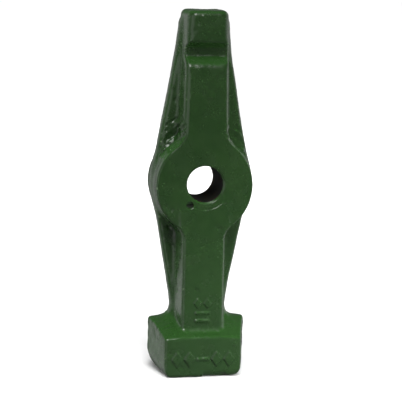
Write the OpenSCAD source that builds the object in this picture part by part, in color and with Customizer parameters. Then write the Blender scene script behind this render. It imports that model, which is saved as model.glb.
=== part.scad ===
// Two-arm pivot lever: one forged body with a bushed pivot bore, a hooked nose
// on the upper arm and a block foot on the lower arm.
// X runs across the lever, Y along the pivot (front is -Y), Z along the arms.
// The origin is the middle of the pivot bore.

/* [Pivot] */
// Radius of the finished pivot bore
bore_r = 10; // [8:0.5:12]
// Wall of the pressed bush
bush_wall = 4; // [3:0.5:4]
// Length of the boss and of the bush
boss_len = 29; // [26:1:32]
// Radius of the boss at its two end faces
boss_face_r = 26.8; // [25:0.2:27]
// Radius of the boss at the parting plane
boss_mid_r = 27.8; // [27.2:0.2:29]
// Chamfer at the boss edge
boss_edge = 1.6; // [0.8:0.2:2.4]
// Chamfer at the mouths of the bush
mouth_chamfer = 0.8; // [0.4:0.1:1.2]

/* [Lock screw] */
// Radius of the grub screw that stops the bush turning
screw_r = 2; // [1.5:0.25:2.5]
// Length of the grub screw
screw_len = 8; // [6:1:10]
// How far the screw sits below the boss face
screw_recess = 1.2; // [0.6:0.1:2]
// Direction of the screw from the pivot, seen from the front
screw_angle = 234; // [225:1:245]
// Width of the screwdriver slot
slot_w = 0.8; // [0.6:0.1:1]

/* [Upper arm] */
// Height of the nose top above the pivot
nose_top_z = 94.2; // [90:0.1:98]
// Half width of the arm's front face at the pivot
upper_root_w = 12.7; // [12:0.1:13.5]
// Half width of the arm's front face at the nose
upper_tip_w = 10.6; // [10:0.1:11.5]
// Distance of the nose's front and back faces from the parting plane
upper_depth = 13.4; // [12.5:0.1:14]
// Height above which the arm keeps the nose's depth; below it the arm deepens to the boss
even_depth_z = 55; // [40:1:60]
// Growth of the half width from the front face to the parting plane
upper_draft = 3.2; // [2:0.1:3.6]

/* [Nose groove] */
// Height of the ledge's front edge
ledge_front_z = 64.3; // [62:0.1:67]
// Height of the ledge where it meets the groove's back wall
ledge_back_z = 69.8; // [68:0.1:72]
// Height of the nose's lower edge at its front face
nose_lip_z = 77.3; // [76:0.1:80]
// Height of the nose's underside where it meets the groove's back wall
groove_roof_z = 74.2; // [73.5:0.1:76]
// Depth of the groove below the arm's front face
groove_depth = 5.2; // [4:0.2:6]

/* [Lower arm] */
// Half width of the lower arm's front face
lower_w = 11.3; // [10.5:0.1:12]
// Distance of its front and back faces from the parting plane
lower_depth = 15.8; // [15:0.1:17]
// Growth of the half width from the front face to the parting plane
lower_draft = 3; // [2:0.1:3.2]

/* [Web] */
// Thickness of the side webs
web_t = 7; // [5:0.5:9]
// Place of the web's middle along the pivot
web_y = 1; // [0:0.5:2]
// Half width of the web at the nose
web_tip_w = 12.5; // [12:0.1:13]
// Half width of the web just above the foot
web_foot_w = 15; // [14.6:0.1:16]
// Radius of the fillet from the web to the foot
foot_fillet = 7; // [5:0.5:8]

/* [Foot] */
// Height of the foot's base below the pivot
base_z = -107; // [-110:0.5:-103]
// Height of the foot's top edge at the front and back faces
shelf_z = -84.2; // [-86:0.2:-82]
// Height of the foot's ridge at its parting line
ridge_z = -76; // [-78:0.5:-75]
// Half width of the front and back faces
foot_face_w = 21.2; // [20:0.2:22]
// Half width at the parting line
foot_ridge_w = 27.4; // [26:0.2:28]
// Distance of the front face from the pivot centre
foot_front = 21.2; // [20:0.2:22]
// Distance of the back face from the pivot centre
foot_back = 24; // [21:0.5:26]
// Place of the foot's parting line along the pivot
foot_ridge_y = 2; // [0:0.5:3]

/* [Raised marks] */
// Height of the raised identification marks
mark_h = 1; // [0.4:0.1:1.2]

/* [Hidden] */
$fn = 72;
paint = "#2c4a28";
seat_r = bore_r + bush_wall;
half_boss = boss_len / 2;
outline_steps = 14;
skin = 0.2;
upper_bend = 1.25;
lower_bend = 1.1;
corner = 2;
nose_round = 3.5;
screw_x = seat_r * cos(screw_angle);
screw_z = seat_r * sin(screw_angle);
screw_head = half_boss - screw_recess;
slot_depth = 1.2;
even_depth_w = upper_root_w + (upper_tip_w - upper_root_w) * even_depth_z / nose_top_z - skin;
mark_z = (base_z + shelf_z) / 2 - 0.8;
mark_near = 7.6;
mark_far = 14.6;
arm_mark_z = -71.6;

// Half width of the web at height z above or below the pivot
function web_w(z) = z >= 0
    ? web_tip_w + (boss_mid_r - web_tip_w) * pow(1 - z / nose_top_z, upper_bend)
    : web_foot_w + (boss_mid_r - web_foot_w) * pow(1 - z / web_low_z, lower_bend);
web_low_z = ridge_z + foot_fillet;

// Right-hand edge of the web, from the foot ridge up to the nose
function web_edge() = concat(
    [[foot_ridge_w, ridge_z - 1]],
    [for (a = [90 : -15 : 0])
        [web_foot_w + foot_fillet * (1 - cos(a)), ridge_z + foot_fillet * (1 - sin(a))]],
    [for (i = [1 : outline_steps]) let (z = web_low_z * (1 - i / outline_steps)) [web_w(z), z]],
    [for (i = [1 : outline_steps - 1]) let (z = nose_top_z * i / outline_steps) [web_w(z), z]],
    [[web_tip_w, nose_top_z - 2 * nose_round], [web_tip_w - nose_round, nose_top_z - 2]]
);

// Points of an outline mirrored to the left, in the order that closes it
function left_of(edge) = [for (i = [len(edge) - 1 : -1 : 0]) [-edge[i][0], edge[i][1]]];

// Cross-section of an arm: widest at the parting plane, chamfered front and back corners
function arm_outline(face_w, draft, depth) = [
    [face_w + draft, 0],
    [face_w + draft * corner / depth, depth - corner],
    [face_w - corner, depth],
    [corner - face_w, depth],
    [-face_w - draft * corner / depth, depth - corner],
    [-face_w - draft, 0],
    [-face_w - draft * corner / depth, corner - depth],
    [corner - face_w, -depth],
    [face_w - corner, -depth],
    [face_w + draft * corner / depth, corner - depth]
];

// A flat shape drawn in X and Z, standing from y1 back to y2
module upright(y1, y2) {
    translate([0, y2, 0])
        rotate([90, 0, 0])
            linear_extrude(y2 - y1)
                children();
}

// A thin slice of an arm at height z
module arm_slice(z, face_w, draft, depth) {
    translate([0, 0, z])
        linear_extrude(skin)
            polygon(arm_outline(face_w, draft, depth));
}

module upper_arm() {
    hull() {
        arm_slice(0, upper_root_w, upper_draft, upper_depth);
        arm_slice(nose_top_z - nose_round, upper_tip_w, 2, upper_depth);
        arm_slice(nose_top_z - skin, upper_tip_w - nose_round, 2, upper_depth - corner);
    }
    hull() {
        arm_slice(0, upper_root_w, upper_draft, half_boss);
        arm_slice(even_depth_z, even_depth_w, 2, upper_depth - skin);
    }
}

module lower_arm() {
    hull() {
        arm_slice(0, lower_w, lower_draft, half_boss);
        arm_slice(-foot_fillet * 4, lower_w, lower_draft, lower_depth);
        arm_slice(shelf_z - 2, lower_w, lower_draft, lower_depth);
    }
}

// Spreads the lower arm into the top of the foot
module arm_flare() {
    hull() {
        arm_slice(shelf_z + foot_fillet, lower_w, lower_draft, lower_depth);
        arm_slice(shelf_z - 1, lower_w + 4, lower_draft + 2, lower_depth + 3);
    }
}

module webs() {
    upright(web_y - web_t / 2, web_y + web_t / 2)
        polygon(concat(web_edge(), left_of(web_edge())));
}

module boss() {
    rotate([90, 0, 0])
        rotate_extrude()
            polygon([
                [0, -half_boss],
                [boss_face_r - boss_edge, -half_boss],
                [boss_face_r, boss_edge - half_boss],
                [boss_mid_r, 0],
                [boss_face_r, half_boss - boss_edge],
                [boss_face_r - boss_edge, half_boss],
                [0, half_boss]
            ]);
}

// Outline of the foot seen from the front, with cut lower corners
module foot_outline(half_w, top_z, cut_x, cut_z) {
    polygon([
        [-half_w, top_z],
        [half_w, top_z],
        [half_w, base_z + cut_z],
        [half_w - cut_x, base_z],
        [cut_x - half_w, base_z],
        [-half_w, base_z + cut_z]
    ]);
}

module foot() {
    hull() {
        upright(-foot_front, skin - foot_front)
            foot_outline(foot_face_w, shelf_z, 2, 2);
        upright(foot_ridge_y - skin, foot_ridge_y)
            foot_outline(foot_ridge_w, ridge_z, 5, 7);
        upright(foot_back - skin, foot_back)
            foot_outline(foot_face_w, shelf_z, 2, 2);
    }
}

// Wedge that is cut out below the nose
module nose_groove() {
    slope = (ledge_back_z - ledge_front_z) / groove_depth;
    reach = 4;
    rotate([90, 0, 90])
        linear_extrude(4 * upper_root_w, center = true)
            polygon([
                [-upper_depth - reach, ledge_front_z - reach * slope],
                [groove_depth - upper_depth, ledge_back_z],
                [groove_depth - upper_depth, groove_roof_z],
                [-upper_depth, nose_lip_z],
                [-upper_depth - reach, nose_lip_z]
            ]);
}

// A flat diamond shape
module lozenge(half_w, half_h) {
    polygon([[half_w, 0], [0, half_h], [-half_w, 0], [0, -half_h]]);
}

// Raised marks: lozenges and a dash on the foot, two lozenges and two dashes on the arm
module raised_marks() {
    upright(-foot_front - mark_h, -foot_front + 1)
        translate([0, mark_z]) {
            for (place = [-mark_far, -mark_near, mark_near, mark_far])
                translate([place, 0])
                    lozenge(3.2, 4.8);
            square([7.2, 1.8], center = true);
        }
    upright(-lower_depth - mark_h, -lower_depth + 1)
        translate([0, arm_mark_z]) {
            square([8.4, 1.8], center = true);
            translate([0, -4.4])
                square([8.4, 1.8], center = true);
            for (side = [-1, 1])
                translate([2.8 * side, 5.6])
                    lozenge(2.4, 3.2);
        }
}

// The threaded hole that lies half in the body and half in the bush
module screw_hole() {
    translate([screw_x, screw_recess - half_boss + screw_len, screw_z])
        rotate([90, 0, 0])
            cylinder(r = screw_r, h = screw_len + screw_recess + 1);
}

module lever_casting() {
    color(paint)
        difference() {
            union() {
                difference() {
                    union() {
                        upper_arm();
                        webs();
                    }
                    nose_groove();
                }
                lower_arm();
                arm_flare();
                boss();
                foot();
                raised_marks();
            }
            rotate([90, 0, 0])
                cylinder(r = seat_r, h = 2 * boss_len, center = true);
            screw_hole();
        }
}

module pivot_bush() {
    color("#3a3632")
        difference() {
            rotate([90, 0, 0])
                rotate_extrude()
                    polygon([
                        [bore_r + mouth_chamfer, -half_boss],
                        [seat_r, -half_boss],
                        [seat_r, half_boss],
                        [bore_r + mouth_chamfer, half_boss],
                        [bore_r, half_boss - mouth_chamfer],
                        [bore_r, mouth_chamfer - half_boss]
                    ]);
            screw_hole();
        }
}

module bush_lock_screw() {
    color("#1d1c1a")
        difference() {
            translate([screw_x, screw_len - screw_head, screw_z])
                rotate([90, 0, 0])
                    cylinder(r = screw_r, h = screw_len);
            translate([screw_x, -screw_head, screw_z])
                cube([4 * screw_r, 2 * slot_depth, slot_w], center = true);
        }
}

lever_casting();
pivot_bush();
bush_lock_screw();
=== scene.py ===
"""A green enamelled pivot lever: one forged body, a pressed bush in its bore and the bush's grub screw."""

import math

import bpy
import numpy as np
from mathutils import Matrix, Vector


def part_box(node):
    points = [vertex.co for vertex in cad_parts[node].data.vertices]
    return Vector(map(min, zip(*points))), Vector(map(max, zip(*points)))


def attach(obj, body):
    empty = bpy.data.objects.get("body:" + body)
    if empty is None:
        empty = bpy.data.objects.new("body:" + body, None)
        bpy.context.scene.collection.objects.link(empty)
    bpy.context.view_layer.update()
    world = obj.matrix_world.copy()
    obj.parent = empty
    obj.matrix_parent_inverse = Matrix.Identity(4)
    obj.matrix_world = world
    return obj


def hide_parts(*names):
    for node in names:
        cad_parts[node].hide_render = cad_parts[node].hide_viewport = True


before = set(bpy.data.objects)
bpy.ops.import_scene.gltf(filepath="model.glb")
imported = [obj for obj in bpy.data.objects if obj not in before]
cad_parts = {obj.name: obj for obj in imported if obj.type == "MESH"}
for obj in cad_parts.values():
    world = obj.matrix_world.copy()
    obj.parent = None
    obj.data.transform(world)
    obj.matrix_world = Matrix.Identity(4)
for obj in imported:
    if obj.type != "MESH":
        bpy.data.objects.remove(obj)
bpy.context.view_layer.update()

import openvdb
from mathutils import Matrix, Vector

MM = 0.001

# ---------------------------------------------------------------- sizes, in millimetres
casting_low, casting_high = (np.array(corner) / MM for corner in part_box("lever_casting"))
bush_high = np.array(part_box("pivot_bush")[1]) / MM
screw_low, screw_high = (np.array(corner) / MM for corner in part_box("bush_lock_screw"))

# Whole part: the bore's axis is Y, the grooved face looks to -Y, and TOP is the nose
TOP = casting_high[2]
BASE = casting_low[2]
PARTING_Y = 1.0
MARK_HEIGHT = 1.0
MARK_Z = -96.4
ARM_MARK_Z = -71.6

# Boss, bush and screw
BORE_R = 10.0
MOUTH_CHAMFER = 0.8
SEAT_R = bush_high[0]
HALF_BOSS = bush_high[1]
BOSS_MID_R = casting_high[0]
BOSS_FACE_R = 27.0
BOSS_CENTRE = (-0.1, -1.2)
BOSS_SHIFT = 0.3
SCREW_X, _, SCREW_Z = (screw_low + screw_high) / 2
SCREW_R = (screw_high[0] - screw_low[0]) / 2
SCREW_END = screw_high[1]

# Arms and webs: half depths and half widths
UPPER_DEPTH = 13.4
FLUSH_TO_Z = 27
UPPER_EVEN_Z = 60
LOWER_DEPTH = 15.9
LOWER_EVEN_Z = -40.0
WEB_HALF = 3.5
WEB_TIP_W = 12.4
WEB_FOOT_W = 15.0
WEB_FOOT_Z = -69.0
WEB_MOST_W = 27.0
TIP_R = 6.0

# Groove below the nose
GROOVE_DEPTH = 5.2
LEDGE_LOW = 64.3
LEDGE_HIGH = 69.8
NOSE_LIP = 77.3

# Foot
FOOT_FRONT = -casting_low[1] - MARK_HEIGHT
FOOT_BACK = casting_high[1]
FOOT_RIDGE_W = 27.4
FOOT_RIDGE_Z = -76.0

# Fillets between one shape and the next
BOSS_FILLET = 4.5
WEB_FILLET = 2.6
FOOT_FILLET = 7.0
ARM_FOOT_FILLET = 2.2

# Meshing: the grid's step, how far the field reaches, and where the skin starts to be uneven
VOXEL = 0.45
FIELD_LIMIT = 4.0
FLUSH_R = SEAT_R + 1.0
UNEVEN_R = FLUSH_R + 8
PAINT_FILM = 0.04


# ---------------------------------------------------------------- distance fields
def ramp(value, low, high):
    """0 below low, 1 above high, with a smooth step between."""
    t = np.clip((value - low) / (high - low), 0, 1)
    return t * t * (3 - 2 * t)


def blend_max(a, b, radius):
    """Overlap of two solids, with their shared edge rounded to the radius."""
    outside = np.hypot(np.maximum(a + radius, 0), np.maximum(b + radius, 0))
    return np.minimum(np.maximum(a, b), -radius) + outside


def blend_min(a, b, radius):
    """Union of two solids, with a fillet of the radius in the corner between them."""
    inside = np.hypot(np.maximum(radius - a, 0), np.maximum(radius - b, 0))
    return np.maximum(np.minimum(a, b), radius) - inside


def web_half_width(z):
    """Half width of the side webs, which taper from the boss to the nose and to the foot."""
    up = np.clip(z / TOP, 0, 1)
    down = np.clip(z / WEB_FOOT_Z, 0, 1)
    spread_above, spread_below = 15.8, 12.6
    above = np.minimum(WEB_TIP_W + spread_above * (1 - up) ** 1.25, WEB_MOST_W)
    below = np.minimum(WEB_FOOT_W + spread_below * (1 - down) ** 1.08, WEB_MOST_W)
    return np.where(z > 0, above, below)


def upper_arm(x, y, z):
    """The bar above the boss: its sides have draft, and its edges are rounder at the nose."""
    along = np.clip(z / TOP, 0, 1)
    face_w = 12.7 - 2.0 * along
    draft = 3.2 - 1.4 * along
    draft_cosine = 0.975
    thinned = np.clip((z - FLUSH_TO_Z) / (UPPER_EVEN_Z - FLUSH_TO_Z), 0, 1)
    depth = HALF_BOSS + (UPPER_DEPTH - HALF_BOSS) * thinned
    sides = (np.abs(x) - face_w - draft * (1 - np.abs(y) / depth)) * draft_cosine
    faces = np.abs(y) - depth
    edge_r = 2.8 + 1.3 * ramp(z, 76, 81)
    bar = blend_max(sides, np.maximum(faces, -z), edge_r)
    top_r = 3.2
    return blend_max(bar, z - TOP, top_r)


def nose_groove(y, z):
    """The wedge below the nose: a sloping ledge, a back wall and the nose's sloping underside."""
    slope = math.atan2(LEDGE_HIGH - LEDGE_LOW, GROOVE_DEPTH)
    underside_slope, underside_cosine = 0.6, 0.857
    low_corner_r, high_corner_r = 0.7, 1.8
    ledge = (LEDGE_LOW - z) * math.cos(slope) + (y + UPPER_DEPTH) * math.sin(slope)
    wall = y + UPPER_DEPTH - GROOVE_DEPTH
    underside = (z - NOSE_LIP + underside_slope * (y + UPPER_DEPTH)) * underside_cosine
    return blend_max(blend_max(ledge, wall, low_corner_r), underside, high_corner_r)


def lower_depth(z):
    """Distance of the lower arm's faces from the middle: it thickens below the boss."""
    return HALF_BOSS + (LOWER_DEPTH - HALF_BOSS) * np.clip(z / LOWER_EVEN_Z, 0, 1)


def lower_arm(x, y, z):
    """The bar below the boss, which ends inside the foot."""
    face_w, draft, draft_cosine = 11.4, 3.0, 0.98
    edge_r = 1.8
    depth = lower_depth(z)
    sides = (np.abs(x) - face_w - draft * (1 - np.abs(y) / depth)) * draft_cosine
    ends = np.maximum(z, BASE + 8 - z)
    return blend_max(sides, np.maximum(np.abs(y) - depth, ends), edge_r)


def side_webs(x, y, z):
    """The slim webs at mid-depth, from the nose to the foot."""
    web_top, web_base = TOP - 2.2, -90.0
    edge_r, side_cosine = 2.4, 0.975
    shift = BOSS_SHIFT * np.exp(-((z / 26.0) ** 2))
    sides = (np.abs(x - shift) - web_half_width(z)) * side_cosine
    outline = np.maximum(blend_max(sides, z - web_top, TIP_R), web_base - z)
    return blend_max(outline, np.abs(y - PARTING_Y) - WEB_HALF, edge_r)


def boss(x, y, z):
    """The boss: a short drum, a little wider at mid-depth than at its faces."""
    swell, edge_r = 0.8, 1.3
    rho_face = np.hypot(x - BOSS_CENTRE[0], z - BOSS_CENTRE[1])
    rho_mid = np.hypot(x - BOSS_SHIFT, z + 0.8)
    side = np.abs(y) / HALF_BOSS
    wall = np.maximum(rho_face - BOSS_FACE_R - swell * (1 - side), rho_mid - BOSS_MID_R + 0.4)
    return blend_max(wall, np.abs(y) - HALF_BOSS, edge_r)


def foot(x, y, z):
    """The foot: widest and highest at its middle, falling away to the front and the back."""
    narrowing, fall = 6.2, 8.2
    side_cosine, top_cosine = 0.97, 0.92
    top_r, chamfer_r, end_r = 1.2, 2.5, 1.3
    base_r = np.where(x > 0, 4.5, 2.4)
    middle = PARTING_Y + 1
    front = (middle - y) / (middle + FOOT_FRONT)
    back = (y - middle) / (FOOT_BACK - middle)
    away = np.clip(np.maximum(front, back), 0, 1.2)
    outward = np.maximum(np.abs(x) - 12, 0)
    sides = (np.abs(x) - FOOT_RIDGE_W + narrowing * away) * side_cosine
    top = (z - FOOT_RIDGE_Z + fall * away ** 1.6 + 0.1 * outward) * top_cosine
    chamfer = np.abs(x) * 0.814 - z * 0.581 - 79.3 + 1.3 * away
    ends = np.maximum(-FOOT_FRONT - y, y - FOOT_BACK)
    outline = blend_max(blend_max(sides, top, top_r), chamfer, chamfer_r)
    return blend_max(blend_max(outline, ends, end_r), BASE - z, base_r)


def casting_field(x, y, z):
    """Distance from the plain forged body, with the bush's seat and the screw's hole cut out."""
    groove_edge_r = 1.3
    webs = side_webs(x, y, z)
    arm = blend_min(upper_arm(x, y, z), webs, WEB_FILLET)
    arm = blend_max(arm, -nose_groove(y, z), groove_edge_r)
    low = blend_min(lower_arm(x, y, z), webs, WEB_FILLET)
    solid = blend_min(np.minimum(arm, low), boss(x, y, z), BOSS_FILLET)
    solid = np.maximum(solid, np.abs(y) - lower_depth(z))
    webbed_foot = blend_min(webs, foot(x, y, z), FOOT_FILLET)
    solid = blend_min(solid, webbed_foot, ARM_FOOT_FILLET)
    solid = np.maximum(solid, SEAT_R - np.hypot(x, z))
    hole = np.hypot(x - SCREW_X, z - SCREW_Z) - SCREW_R
    return np.maximum(solid, -np.maximum(hole, y - SCREW_END))


# ---------------------------------------------------------------- surface detail
LATTICE_SIZE = 32
LATTICE = np.random.default_rng(11).random((LATTICE_SIZE, LATTICE_SIZE, LATTICE_SIZE))


def noise(points, scale):
    """Smooth noise from -1 to 1 whose bumps are about scale millimetres apart."""
    place = points / scale + 1000
    cell = np.floor(place).astype(int)
    part = place - cell
    part = part * part * (3 - 2 * part)
    total = np.zeros(len(points))
    for step in np.ndindex(2, 2, 2):
        weight = np.prod(np.where(step, part, 1 - part), axis=1)
        corner = (cell + step) % LATTICE_SIZE
        total += weight * LATTICE[corner[:, 0], corner[:, 1], corner[:, 2]]
    return total * 2 - 1


def forged_skin(points):
    """Height of the uneven forged surface."""
    broad = 0.26 * noise(points, 17.0) + 0.14 * noise(points + 71, 8.0)
    fine = 0.08 * noise(points + 31, 3.4) + 0.055 * noise(points + 53, 1.7)
    return broad + fine


def chisel_streaks(points):
    """Rough streaks round the top corners of the boss, where it runs out into the webs."""
    x, y, z = points.T
    rho = np.hypot(x, z)
    angle = np.degrees(np.arctan2(z, np.abs(x)))
    zone = ramp(rho, 25.5, 27.5) * (1 - ramp(rho, 36, 41))
    zone = zone * ramp(angle, 24, 34) * (1 - ramp(angle, 66, 74))
    zone = zone * (1 - ramp(np.abs(y), 13.2, 14.2)) * ramp(np.abs(y - PARTING_Y), 3, 4.5)
    along = np.radians(angle) * rho
    streaks = np.stack([(rho + 0.8 * y) / 1.3, along / 8.0, np.sign(x) * 3 + y / 9.0], axis=1)
    lumps = noise(points + 17, 1.5)
    return zone * (0.1 + 0.8 * noise(streaks, 1.0) + 0.3 * lumps)


def foot_ripples(points):
    """The wavy top of the foot behind its front lip."""
    x, y, z = points.T
    zone = ramp(z, -90, -84) * (1 - ramp(z, -75, -72)) * ramp(np.abs(x), 12, 17) * ramp(y, -18, -14)
    return zone * 0.22 * noise(np.stack([x / 2.4, y / 1.5, z / 3.0], axis=1), 1.0)


# Dents seen on the front: across, up, radius and depth
FRONT_DENTS = [
    (-3.4, 23.4, 1.1, 0.55), (7.9, -24.4, 1.8, 0.6), (-3.8, -58.6, 1.0, 0.5), (0.8, -33.5, 3.2, 0.3),
    (-17.5, -25.5, 1.4, 0.7), (-21.5, -12.0, 1.2, 0.6), (-18.6, -14.0, 1.3, 0.7), (-15.5, -36.0, 1.2, 0.5),
    (-6.0, 87.0, 0.9, 0.4), (-3.0, 91.0, 0.8, -0.3), (-7.5, 83.5, 1.4, 0.3), (-1.0, 54.5, 1.3, 0.4),
    (1.4, 51.5, 1.1, 0.45), (-2.6, 49.6, 1.2, 0.4), (2.4, 48.0, 0.9, -0.3), (0.2, 46.0, 1.2, 0.35),
    (8.0, 60.0, 1.6, 0.25), (-8.0, 62.0, 1.9, 0.3), (-15.8, 45.0, 1.1, 0.4), (-17.5, 52.0, 1.0, -0.35),
    (14.5, 28.0, 1.5, 0.6), (12.5, -48.0, 1.0, 0.3), (-7.0, -44.0, 1.3, 0.3), (4.0, -50.0, 1.1, 0.2),
    (-19.0, -93.0, 1.1, 0.4), (17.6, -88.5, 1.2, -0.3), (11.6, -106.0, 1.4, 1.0), (-12.0, -101.0, 1.0, 0.35),
]
LOOSE_DENTS = 90


def dents(points, normals):
    """Pits and bumps: those seen on the front, and others scattered over every side."""
    height = np.zeros(len(points))
    front = normals[:, 1] < -0.25
    for across, up, radius, depth in FRONT_DENTS:
        away = np.hypot(points[:, 0] - across, points[:, 2] - up) / radius
        height -= np.where(front & (away < 3), depth * np.exp(-(away**2)), 0)
    rng = np.random.default_rng(5)
    for centre in points[rng.integers(0, len(points), LOOSE_DENTS)]:
        radius = rng.uniform(0.6, 1.5)
        depth = rng.uniform(-0.12, 0.38)
        away = np.linalg.norm(points - centre, axis=1) / radius
        height -= np.where(away < 3, depth * np.exp(-(away**2)), 0)
    return height


def lozenge(across, up, half_w, half_h):
    """Roughly the distance from a lozenge's outline, below 0 inside."""
    return (np.abs(across) / half_w + np.abs(up) / half_h - 1) * min(half_w, half_h) * 0.8


def dash(across, up, half_w, half_h):
    """Roughly the distance from a rectangle's outline, below 0 inside."""
    return np.maximum(np.abs(across) - half_w, np.abs(up) - half_h)


def raised_marks(points, normals):
    """Generic raised marks: lozenges and a dash on the foot, two lozenges and two dashes on the arm."""
    x, _, z = points.T
    foot_z = z - MARK_Z
    arm_z = z - ARM_MARK_Z
    shapes = [lozenge(x - place, foot_z, 3.2, 4.8) for place in (-14.6, -7.6, 7.6, 14.6)]
    shapes.append(dash(x, foot_z, 3.6, 0.9))
    shapes += [lozenge(x - place, arm_z - 5.6, 2.4, 3.2) for place in (-2.8, 2.8)]
    shapes += [dash(x, arm_z - up, 4.2, 0.9) for up in (0, -4.4)]
    nearest = np.minimum.reduce(shapes)
    relief = 1 - ramp(nearest, -0.45, 0.25)
    worn = 0.8 + 0.2 * noise(points + 9, 2.0)
    return MARK_HEIGHT * relief * worn * (normals[:, 1] < -0.6)


def skin_height(points, normals):
    """How far the finished surface stands off the plain one."""
    x, y, z = points.T
    height = forged_skin(points) + chisel_streaks(points) + foot_ripples(points)
    height += dents(points, normals) + raised_marks(points, normals)
    seam = 0.22 * np.exp(-((y - PARTING_Y) / 0.5) ** 2) * (np.abs(normals[:, 0]) > 0.5)
    height += seam * (0.6 + 0.4 * noise(points + 5, 5.0))
    return height * ramp(np.hypot(x, z), FLUSH_R, UNEVEN_R)


# ---------------------------------------------------------------- mesh building
def new_object(name, vertices, faces):
    """A smooth-shaded mesh object in the scene."""
    mesh = bpy.data.meshes.new(name)
    mesh.from_pydata(vertices.tolist(), [], faces.tolist())
    mesh.validate()
    mesh.update()
    mesh.shade_smooth()
    made = bpy.data.objects.new(name, mesh)
    bpy.context.scene.collection.objects.link(made)
    return made


def remove_object(thing):
    mesh = thing.data
    bpy.data.objects.remove(thing)
    bpy.data.meshes.remove(mesh)


def mesh_normals(vertices, faces):
    """Vertex normals, from a mesh that is thrown away again."""
    scratch = new_object("scratch", vertices, faces)
    normals = np.zeros(len(vertices) * 3)
    scratch.data.vertices.foreach_get("normal", normals)
    remove_object(scratch)
    return normals.reshape(-1, 3)


def surface_of(field_of, low, high, step):
    """Quads on the zero surface of a distance field."""
    axes = [np.arange(a, b + step, step) for a, b in zip(low, high)]
    x, y, z = np.meshgrid(*axes, indexing="ij", sparse=True)
    field = np.clip(field_of(x, y, z), -FIELD_LIMIT, FIELD_LIMIT)
    grid = openvdb.FloatGrid(FIELD_LIMIT)
    grid.copyFromArray(field.astype(np.float32))
    points, quads = grid.convertToQuads(0.0)
    return points.astype(float) * step + np.array(low), quads


def snap_to_seat(points):
    """Makes the seat's wall and its two mouths exact, so that the bush sits flush."""
    x, y, z = points.T
    rho = np.hypot(x, z)
    wall = np.abs(rho - SEAT_R) < 0.6 * VOXEL
    scale = np.where(wall, SEAT_R / np.maximum(rho, 1), 1)
    mouth = (rho < SEAT_R + 1.5) & (np.abs(np.abs(y) - HALF_BOSS) < 0.8 * VOXEL)
    level = np.where(mouth, np.sign(y) * HALF_BOSS, y)
    return np.stack([x * scale, level, z * scale], axis=1)


def lever_body():
    """The forged body: the plain surface, with its seat made exact and its skin made uneven."""
    margin = 2.0
    points, quads = surface_of(casting_field, casting_low - margin, casting_high + margin, VOXEL)
    points = snap_to_seat(points)
    normals = mesh_normals(points, quads)
    points = points + normals * skin_height(points, normals)[:, None]
    points[:, 2] = np.maximum(points[:, 2], BASE)
    made = new_object("forged_lever_body", points * MM, quads)
    made.data.set_sharp_from_angle(angle=math.radians(55))
    return made


def turned(profile, segments):
    """A closed ring turned about the pivot axis from a profile of radius and place."""
    rings = len(profile)
    turn = np.arange(segments) * 2 * math.pi / segments
    radius = np.array([p[0] for p in profile])
    place = np.array([p[1] for p in profile])
    x = radius[:, None] * np.cos(turn)
    z = radius[:, None] * np.sin(turn)
    y = np.repeat(place[:, None], segments, axis=1)
    points = np.stack([x, y, z], axis=-1).reshape(-1, 3)
    ring, step = np.meshgrid(np.arange(rings), np.arange(segments), indexing="ij")
    next_ring = (ring + 1) % rings
    next_step = (step + 1) % segments
    corners = [ring * segments + step, ring * segments + next_step,
               next_ring * segments + next_step, next_ring * segments + step]
    quads = np.stack(corners, axis=-1).reshape(-1, 4)
    return points, quads


def bush_profile():
    """Section of the bush. The paint on its ends bridges the seam, so it reaches over the body."""
    bore_steps = np.linspace(-HALF_BOSS + MOUTH_CHAMFER, HALF_BOSS - MOUTH_CHAMFER, 24)
    mouth = [(BORE_R + 0.45, MOUTH_CHAMFER * 0.55), (BORE_R + MOUTH_CHAMFER, 0.12)]
    film = [(BORE_R + MOUTH_CHAMFER + 0.25, -PAINT_FILM), (SEAT_R + 0.6, -PAINT_FILM)]
    end_face = film + [(SEAT_R - 0.02, 0.3)]
    front = [(r, inset - HALF_BOSS) for r, inset in mouth + end_face]
    back = [(r, HALF_BOSS - inset) for r, inset in reversed(mouth + end_face)]
    outer = [(SEAT_R - 0.02, 0)]
    bore = [(BORE_R, y) for y in reversed(bore_steps)]
    return front + outer + back + bore


def pivot_bush():
    """The bush, bare in its bore and painted on its ends, with an uneven mouth and a nick in it."""
    points, quads = turned(bush_profile(), 180)
    x, y, z = points.T
    rho = np.hypot(x, z)
    mouth = np.exp(-((rho - BORE_R - 0.6) / 0.5) ** 2) * ramp(np.abs(y), HALF_BOSS - 1.0, HALF_BOSS)
    nick = np.exp(-((x + BORE_R) ** 2 + (z + 1.0) ** 2) / 0.9) * (y < 0)
    uneven = 0.16 * mouth * noise(points + 3, 2.6) + 0.6 * mouth * nick
    grow = 1 + uneven / np.maximum(rho, 1)
    points = np.stack([x * grow, y, z * grow], axis=1)
    made = new_object("pressed_bush", points * MM, quads)
    made.data.materials.append(bush_steel())
    made.data.materials.append(green_paint("green_enamel_bush", edges=False))
    for face in made.data.polygons:
        reach = math.hypot(face.center.x, face.center.z) / MM
        face.material_index = int(reach > BORE_R + 0.15)
    cut_screw_hole(made)
    made.data.set_sharp_from_angle(angle=math.radians(35))
    return made


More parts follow.
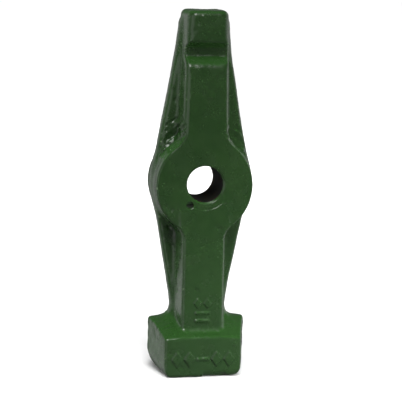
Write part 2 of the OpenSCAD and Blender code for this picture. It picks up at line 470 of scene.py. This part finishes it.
def cut_screw_hole(target):
    """Cuts the grub screw's half of the hole out of the bush."""
    bpy.ops.mesh.primitive_cylinder_add(vertices=48, radius=SCREW_R * MM, depth=2 * HALF_BOSS * MM)
    drill = bpy.context.object
    drill.rotation_euler = (math.pi / 2, 0, 0)
    drill.location = Vector((SCREW_X, SCREW_END - HALF_BOSS, SCREW_Z)) * MM
    cut = target.modifiers.new("screw_hole", "BOOLEAN")
    cut.operation = "DIFFERENCE"
    cut.solver = "EXACT"
    cut.object = drill
    bpy.context.view_layer.update()
    shape = bpy.data.meshes.new_from_object(target.evaluated_get(bpy.context.evaluated_depsgraph_get()))
    target.modifiers.clear()
    old = target.data
    target.data = shape
    bpy.data.meshes.remove(old)
    remove_object(drill)


# ---------------------------------------------------------------- materials
class Nodes:
    """A short way to write a material's node tree."""

    def __init__(self, name):
        self.material = bpy.data.materials.new(name)
        self.material.use_nodes = True
        self.tree = self.material.node_tree
        self.shader = self.tree.nodes["Principled BSDF"]
        self.coords = self.add("ShaderNodeTexCoord")
        self.place = self.coords.outputs["Object"]

    def add(self, kind, **settings):
        node = self.tree.nodes.new(kind)
        for key, value in settings.items():
            setattr(node, key, value)
        return node

    def feed(self, target, value):
        if isinstance(value, bpy.types.NodeSocket):
            self.tree.links.new(value, target)
        else:
            target.default_value = value

    def noise(self, size_mm, detail=3.0, rough=0.5, stretch=None):
        place = self.place
        if stretch:
            scaled = self.add("ShaderNodeVectorMath", operation="MULTIPLY")
            self.feed(scaled.inputs[0], place)
            scaled.inputs[1].default_value = stretch
            place = scaled.outputs[0]
        node = self.add("ShaderNodeTexNoise")
        self.feed(node.inputs["Vector"], place)
        node.inputs["Scale"].default_value = 1 / (size_mm * MM)
        node.inputs["Detail"].default_value = detail
        node.inputs["Roughness"].default_value = rough
        return node.outputs[0]

    def remap(self, value, low, high, out_low=0.0, out_high=1.0):
        node = self.add("ShaderNodeMapRange", interpolation_type="SMOOTHSTEP")
        self.feed(node.inputs["Value"], value)
        for key, number in zip(("From Min", "From Max", "To Min", "To Max"), (low, high, out_low, out_high)):
            node.inputs[key].default_value = number
        return node.outputs[0]

    def math(self, operation, a, b):
        node = self.add("ShaderNodeMath", operation=operation)
        self.feed(node.inputs[0], a)
        self.feed(node.inputs[1], b)
        return node.outputs[0]

    def mix(self, share, a, b):
        node = self.add("ShaderNodeMix", data_type="RGBA")
        self.feed(node.inputs[0], share)
        self.feed(node.inputs[6], a)
        self.feed(node.inputs[7], b)
        return node.outputs[2]

    def bump(self, height, distance_mm, strength=1.0, normal=None):
        node = self.add("ShaderNodeBump")
        node.inputs["Strength"].default_value = strength
        node.inputs["Distance"].default_value = distance_mm * MM
        self.feed(node.inputs["Height"], height)
        if normal is not None:
            self.feed(node.inputs["Normal"], normal)
        return node.outputs[0]

    def surface(self, colour, rough, normal):
        self.feed(self.shader.inputs["Base Color"], colour)
        self.feed(self.shader.inputs["Roughness"], rough)
        self.feed(self.shader.inputs["Normal"], normal)
        return self.material


# Colours of the green enamel, from its deepest to bare, rubbed edges; some of them are painted light and
# painted shade
ENAMEL_DEEP = (0.0062, 0.0190, 0.0042, 1)
ENAMEL_FULL = (0.0080, 0.0225, 0.0052, 1)
# Painted light: a lighter green for the lower part of the lever, where more light falls
ENAMEL_LIT_LOW = (0.0110, 0.0285, 0.0085, 1)
ENAMEL_PATCH = (0.0120, 0.0290, 0.0080, 1)
# Painted light: a brighter green for faces that look up, where the light from above falls
ENAMEL_LIT_FROM_ABOVE = (0.0105, 0.0365, 0.0066, 1)
ENAMEL_SPECK = (0.012, 0.020, 0.010, 1)
# Painted shade: a darker green for concave creases, where shade falls
ENAMEL_CREASE_SHADE = (0.0045, 0.0120, 0.0035, 1)
ENAMEL_WORN = (0.11, 0.16, 0.09, 1)


def enamel_colour(m):
    """Green that varies over the surface, with painted light: lighter low down and brighter where it faces
    up.
    """
    facing = m.add("ShaderNodeSeparateXYZ")
    m.feed(facing.inputs[0], m.coords.outputs["Normal"])
    height = m.add("ShaderNodeSeparateXYZ")
    m.feed(height.inputs[0], m.place)
    broad = m.remap(m.noise(26, 2), 0.35, 0.65)
    patch = m.remap(m.noise(6, 4, 0.6), 0.4, 0.7)
    green = m.mix(broad, ENAMEL_DEEP, ENAMEL_FULL)
    # Painted light: the green grows lighter towards the foot, standing in for the light that falls more on
    # the lower part
    painted_low_light = m.remap(height.outputs[2], -0.09, 0.02, 0.8, 0.0)
    green = m.mix(painted_low_light, green, ENAMEL_LIT_LOW)
    green = m.mix(m.math("MULTIPLY", patch, 0.3), green, ENAMEL_PATCH)
    # Painted light: faces that look up turn a brighter green, standing in for the light from above
    painted_top_light = m.remap(facing.outputs[2], 0.3, 0.65)
    green = m.mix(m.math("MULTIPLY", painted_top_light, 0.9), green, ENAMEL_LIT_FROM_ABOVE)
    speck = m.remap(m.noise(1.3, 2, 0.5), 0.70, 0.76)
    return m.mix(m.math("MULTIPLY", speck, 0.6), green, ENAMEL_SPECK)


def shade_and_wear(m, green):
    """Adds painted shade in the concave creases and rubbed edges to the green."""
    bend = m.add("ShaderNodeNewGeometry").outputs["Pointiness"]
    # Painted shade: concave creases are darkened, standing in for the shade that falls in them
    crease_shade = m.remap(bend, 0.40, 0.48, 0.6, 0.0)
    green = m.mix(crease_shade, green, ENAMEL_CREASE_SHADE)
    patchy = m.remap(m.noise(3.0, 4, 0.6), 0.45, 0.62)
    worn = m.math("MULTIPLY", m.remap(bend, 0.53, 0.62), patchy)
    return m.mix(m.math("MULTIPLY", worn, 0.45), green, ENAMEL_WORN)


def green_paint(name, edges=True):
    """Glossy green enamel; with edges, it has wear on its edges and painted shade in its creases."""
    m = Nodes(name)
    m.shader.inputs["IOR"].default_value = 1.45
    m.shader.inputs["Coat Weight"].default_value = 0.12
    m.shader.inputs["Coat Roughness"].default_value = 0.1
    green = enamel_colour(m)
    if edges:
        green = shade_and_wear(m, green)
    rough = m.remap(m.noise(9, 3, 0.55), 0.3, 0.7, 0.17, 0.32)
    peel = m.bump(m.noise(1.1, 2, 0.5), 0.05, 0.6)
    normal = m.bump(m.noise(4.2, 3, 0.55), 0.16, 0.6, peel)
    return m.surface(green, rough, normal)


def bush_steel():
    """Dark oiled steel of the bore's wall, with brown patches and fine boring rings."""
    m = Nodes("bush_steel")
    m.shader.inputs["Specular IOR Level"].default_value = 0.005
    spots = m.remap(m.noise(3.5, 4, 0.6), 0.46, 0.68)
    steel = m.mix(spots, (0.0045, 0.0052, 0.0042, 1), (0.022, 0.015, 0.010, 1))
    rings = m.noise(1.6, 2, 0.5, stretch=(0.12, 1.0, 0.12))
    rough = m.remap(spots, 0, 1, 0.42, 0.65)
    return m.surface(steel, rough, m.bump(rings, 0.03, 0.5))


def screw_steel():
    """Black screw with green overspray."""
    m = Nodes("screw_black_oxide")
    spray = m.remap(m.noise(1.6, 3, 0.6), 0.40, 0.6)
    colour = m.mix(spray, (0.006, 0.009, 0.005, 1), (0.016, 0.042, 0.012, 1))
    rough = m.remap(spray, 0, 1, 0.6, 0.4)
    return m.surface(colour, rough, m.bump(m.noise(0.7, 3, 0.6), 0.06, 0.8))


def pale_floor():
    """Pale matt paper."""
    m = Nodes("pale_floor")
    tone = m.remap(m.noise(400, 2), 0.3, 0.7)
    colour = m.mix(tone, (0.57, 0.57, 0.57, 1), (0.59, 0.59, 0.59, 1))
    return m.surface(colour, 0.9, m.bump(m.noise(6, 2), 0.05, 0.1))


# ---------------------------------------------------------------- camera, light, floor
def add_camera():
    """A long lens a little above and to the left of the grooved face, with a slight roll."""
    yaw, pitch, roll = (math.radians(a) for a in (11.85, 9.65, 1.56))
    aim = Vector((0.4, -2.1, -11.2)) * MM
    distance = 842.4 * MM
    level_ahead = Vector((math.sin(yaw), math.cos(yaw), 0))
    forward = level_ahead * math.cos(pitch) - Vector((0, 0, math.sin(pitch)))
    level = Vector((math.cos(yaw), -math.sin(yaw), 0))
    lift = level.cross(forward)
    right = level * math.cos(roll) + lift * math.sin(roll)
    up = lift * math.cos(roll) - level * math.sin(roll)
    data = bpy.data.cameras.new("camera")
    data.sensor_width = 36.0
    data.lens = 136.1
    camera = bpy.data.objects.new("camera", data)
    turn = Matrix((right, up, -forward)).transposed()
    camera.matrix_world = Matrix.Translation(aim - forward * distance) @ turn.to_4x4()
    bpy.context.scene.collection.objects.link(camera)
    bpy.context.scene.camera = camera


def add_light(kind, name, place, power, aim=(0, 0, 0), mirrored=False):
    """A lamp that either lights the scene or is only mirrored in the paint."""
    data = bpy.data.lights.new(name, kind)
    data.energy = power
    light = bpy.data.objects.new(name, data)
    light.location = place
    light.rotation_euler = (Vector(aim) - Vector(place)).to_track_quat("-Z", "Y").to_euler()
    light.visible_glossy = mirrored
    light.visible_diffuse = not mirrored
    light.visible_camera = False
    bpy.context.scene.collection.objects.link(light)
    return data


# Bright panels round the studio: direction, edge and core of the panel as cosines, and brightness
PANELS = [
    ((-0.80, 0.58, -0.15), 0.70, 0.93, 0.6),
    ((0.90, 0.35, 0.0), 0.75, 0.95, 0.7),
    ((-0.72, -0.68, 0.0), 0.86, 0.97, 0.9),
]
AMBIENT = 0.12


def panel_glow(tree, place, direction, edge, core, power):
    """Brightness of one panel, full inside its core and fading to nothing at its edge."""
    facing = tree.nodes.new("ShaderNodeVectorMath")
    facing.operation = "DOT_PRODUCT"
    tree.links.new(place, facing.inputs[0])
    facing.inputs[1].default_value = Vector(direction).normalized()
    panel = tree.nodes.new("ShaderNodeMapRange")
    panel.interpolation_type = "SMOOTHSTEP"
    tree.links.new(facing.outputs["Value"], panel.inputs["Value"])
    for key, number in (("From Min", edge), ("From Max", core), ("To Min", 0), ("To Max", power)):
        panel.inputs[key].default_value = number
    return panel.outputs[0]


def studio_world():
    """A dim grey room with soft bright panels, which the paint mirrors."""
    world = bpy.data.worlds.new("studio")
    bpy.context.scene.world = world
    world.use_nodes = True
    tree = world.node_tree
    place = tree.nodes.new("ShaderNodeTexCoord").outputs["Generated"]
    total = None
    for panel in PANELS:
        add = tree.nodes.new("ShaderNodeMath")
        tree.links.new(panel_glow(tree, place, *panel), add.inputs[0])
        if total is None:
            add.inputs[1].default_value = AMBIENT
        else:
            tree.links.new(total, add.inputs[1])
        total = add.outputs[0]
    tree.links.new(total, tree.nodes["Background"].inputs["Color"])


def pale_ground():
    """A wide disc that the foot stands on."""
    bpy.ops.mesh.primitive_circle_add(vertices=96, radius=20, fill_type="NGON", location=(0, 0, BASE * MM))
    floor = bpy.context.object
    floor.name = "floor"
    floor.data.materials.append(pale_floor())
    floor.visible_glossy = False


# ---------------------------------------------------------------- the model
def stand_for(piece, node):
    """Shows the piece in the CAD node's place: hides the node and hangs the piece on the root body."""
    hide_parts(node)
    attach(piece, "root")


bpy.context.scene.view_settings.view_transform = "Standard"
add_camera()
studio_world()
add_light("SUN", "overhead", (-0.10, -0.58, 1.0), 6.3).angle = math.radians(40)
add_light("AREA", "low_fill", (0.15, -0.14, -0.085), 0.8, (0, 0, -0.085)).size = 0.08
add_light("AREA", "left_fill", (-0.9, 0.25, 0.05), 9.0).size = 0.3
add_light("AREA", "back_fill", (0.45, 0.9, 0.35), 9.0).size = 0.5
add_light("AREA", "sparkle", (-0.16, -0.62, 0.60), 4.4, mirrored=True).size = 0.34
pale_ground()

body = lever_body()
body.data.materials.append(green_paint("green_enamel"))
stand_for(body, "lever_casting")
stand_for(pivot_bush(), "pivot_bush")
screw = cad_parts["bush_lock_screw"]
screw.data.materials.clear()
screw.data.materials.append(screw_steel())
